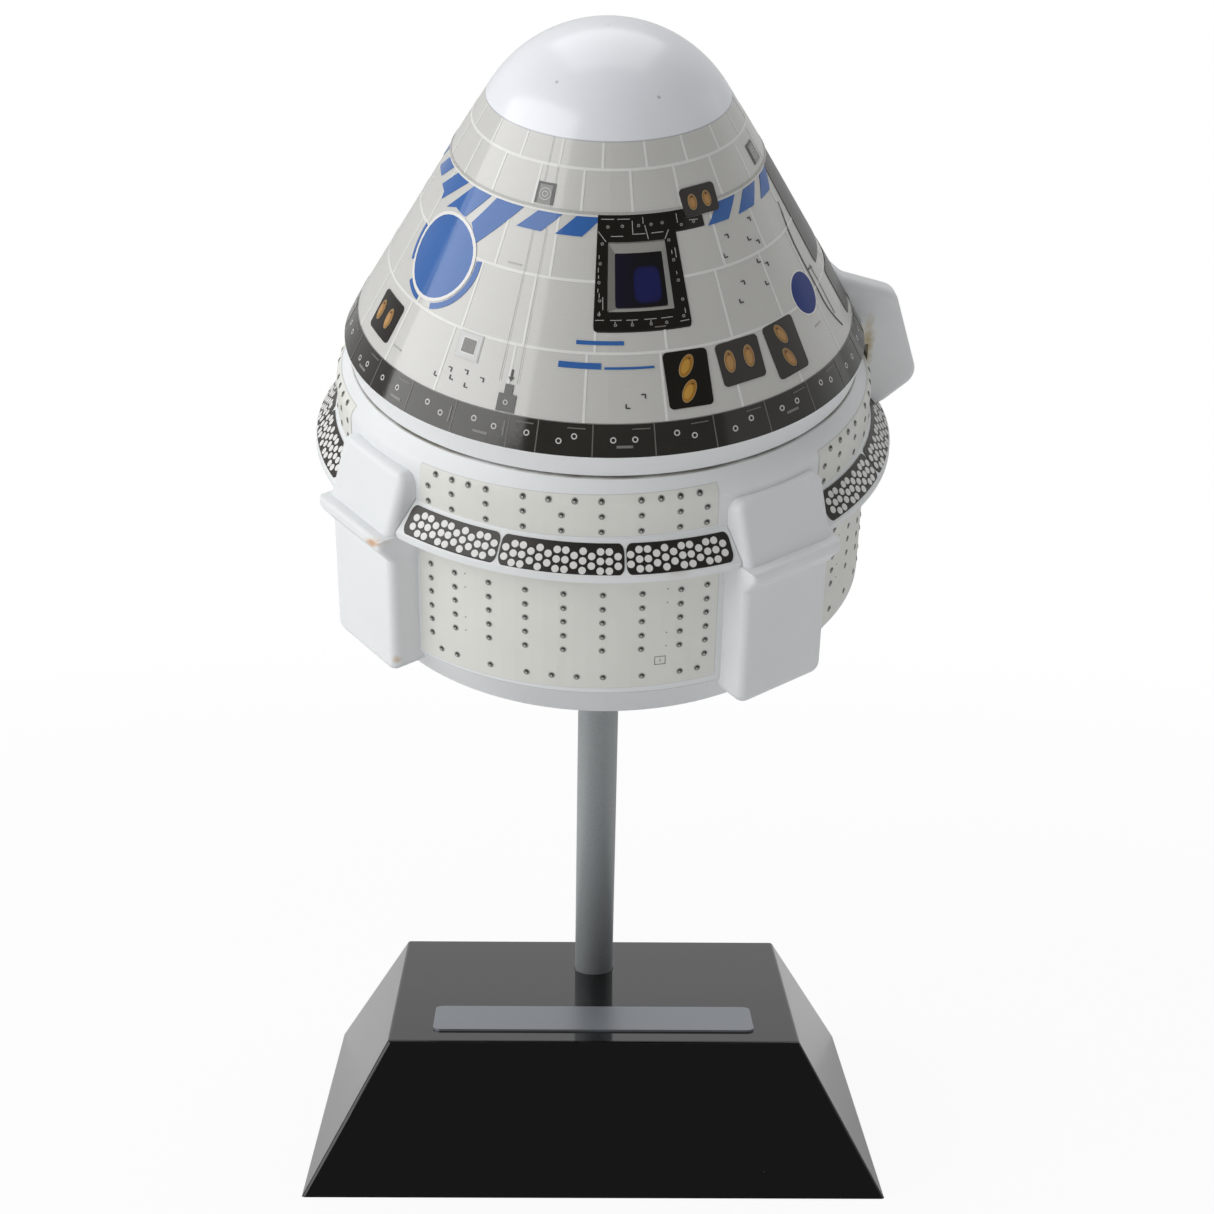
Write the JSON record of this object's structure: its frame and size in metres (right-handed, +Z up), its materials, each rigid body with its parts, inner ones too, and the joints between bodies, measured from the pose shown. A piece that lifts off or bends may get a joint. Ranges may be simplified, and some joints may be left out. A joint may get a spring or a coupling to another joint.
{
  "type": "desk model of a space capsule on a stand",
  "caption": "Desk model of a cone-shaped space capsule on a round service module, held by a leaning rod over a bevelled black plinth with a blank plate.",
  "frame": {"origin": "centre of the plinth's underside, on the surface it stands on", "axes": "+Z up, the name plate and the capsule's window face -Y, +X to the viewer's right"},
  "size_m": [0.1155, 0.1422, 0.2231],
  "materials": {
    "black_lacquer": "glossy black lacquer over wood",
    "felt": "black baize",
    "silver_plate": "satin, bare",
    "rod_paint": "satin silver-grey paint",
    "white_cast": "matt white cast resin",
    "gloss_white": "gloss white",
    "wrap_print": "gloss printed wrap, warm light grey",
    "band_print": "gloss printed wrap, near black tiles",
    "black_print": "gloss near-black print",
    "grey_print": "gloss dark grey print",
    "reveal_grey": "gloss light grey print",
    "window_blue": "gloss dark blue print",
    "dot_print": "black print with white dots",
    "solar_cells": "dark blue-black printed cells",
    "bell_grey": "dark grey paint"
  },
  "bodies": {
    "root": {"cone_wrap": "wrap_print", "crew_body": "white_cast", "doghouse_lower_1": "white_cast", "doghouse_lower_2": "white_cast", "doghouse_lower_3": "white_cast", "doghouse_lower_4": "white_cast", "doghouse_upper_1": "white_cast", "doghouse_upper_2": "white_cast", "doghouse_upper_3": "white_cast", "doghouse_upper_4": "white_cast", "dot_panels_1": "dot_print", "dot_panels_2": "dot_print", "dot_panels_3": "dot_print", "dot_panels_4": "dot_print", "engine_bell_1": "bell_grey", "engine_bell_2": "bell_grey", "engine_bell_3": "bell_grey", "engine_bell_4": "bell_grey", "flare_1": "white_cast", "flare_2": "white_cast", "flare_3": "white_cast", "flare_4": "white_cast", "forward_wrap": "wrap_print", "name_plate": "silver_plate", "nose_dome": "gloss_white", "plinth": "black_lacquer", "plinth_felt": "felt", "service_barrel": "white_cast", "side_panel_1": "grey_print", "side_panel_2": "grey_print", "solar_disc": "solar_cells", "stand_rod": "rod_paint", "thruster_panel_1": "black_print", "thruster_panel_2": "black_print", "thruster_panel_3": "black_print", "thruster_panel_4": "black_print", "thruster_panel_5": "black_print", "tile_band": "band_print", "umbilical_cover": "white_cast", "window_frame": "black_print", "window_pane": "window_blue", "window_reveal": "reveal_grey"}
  },
  "joints": []
}
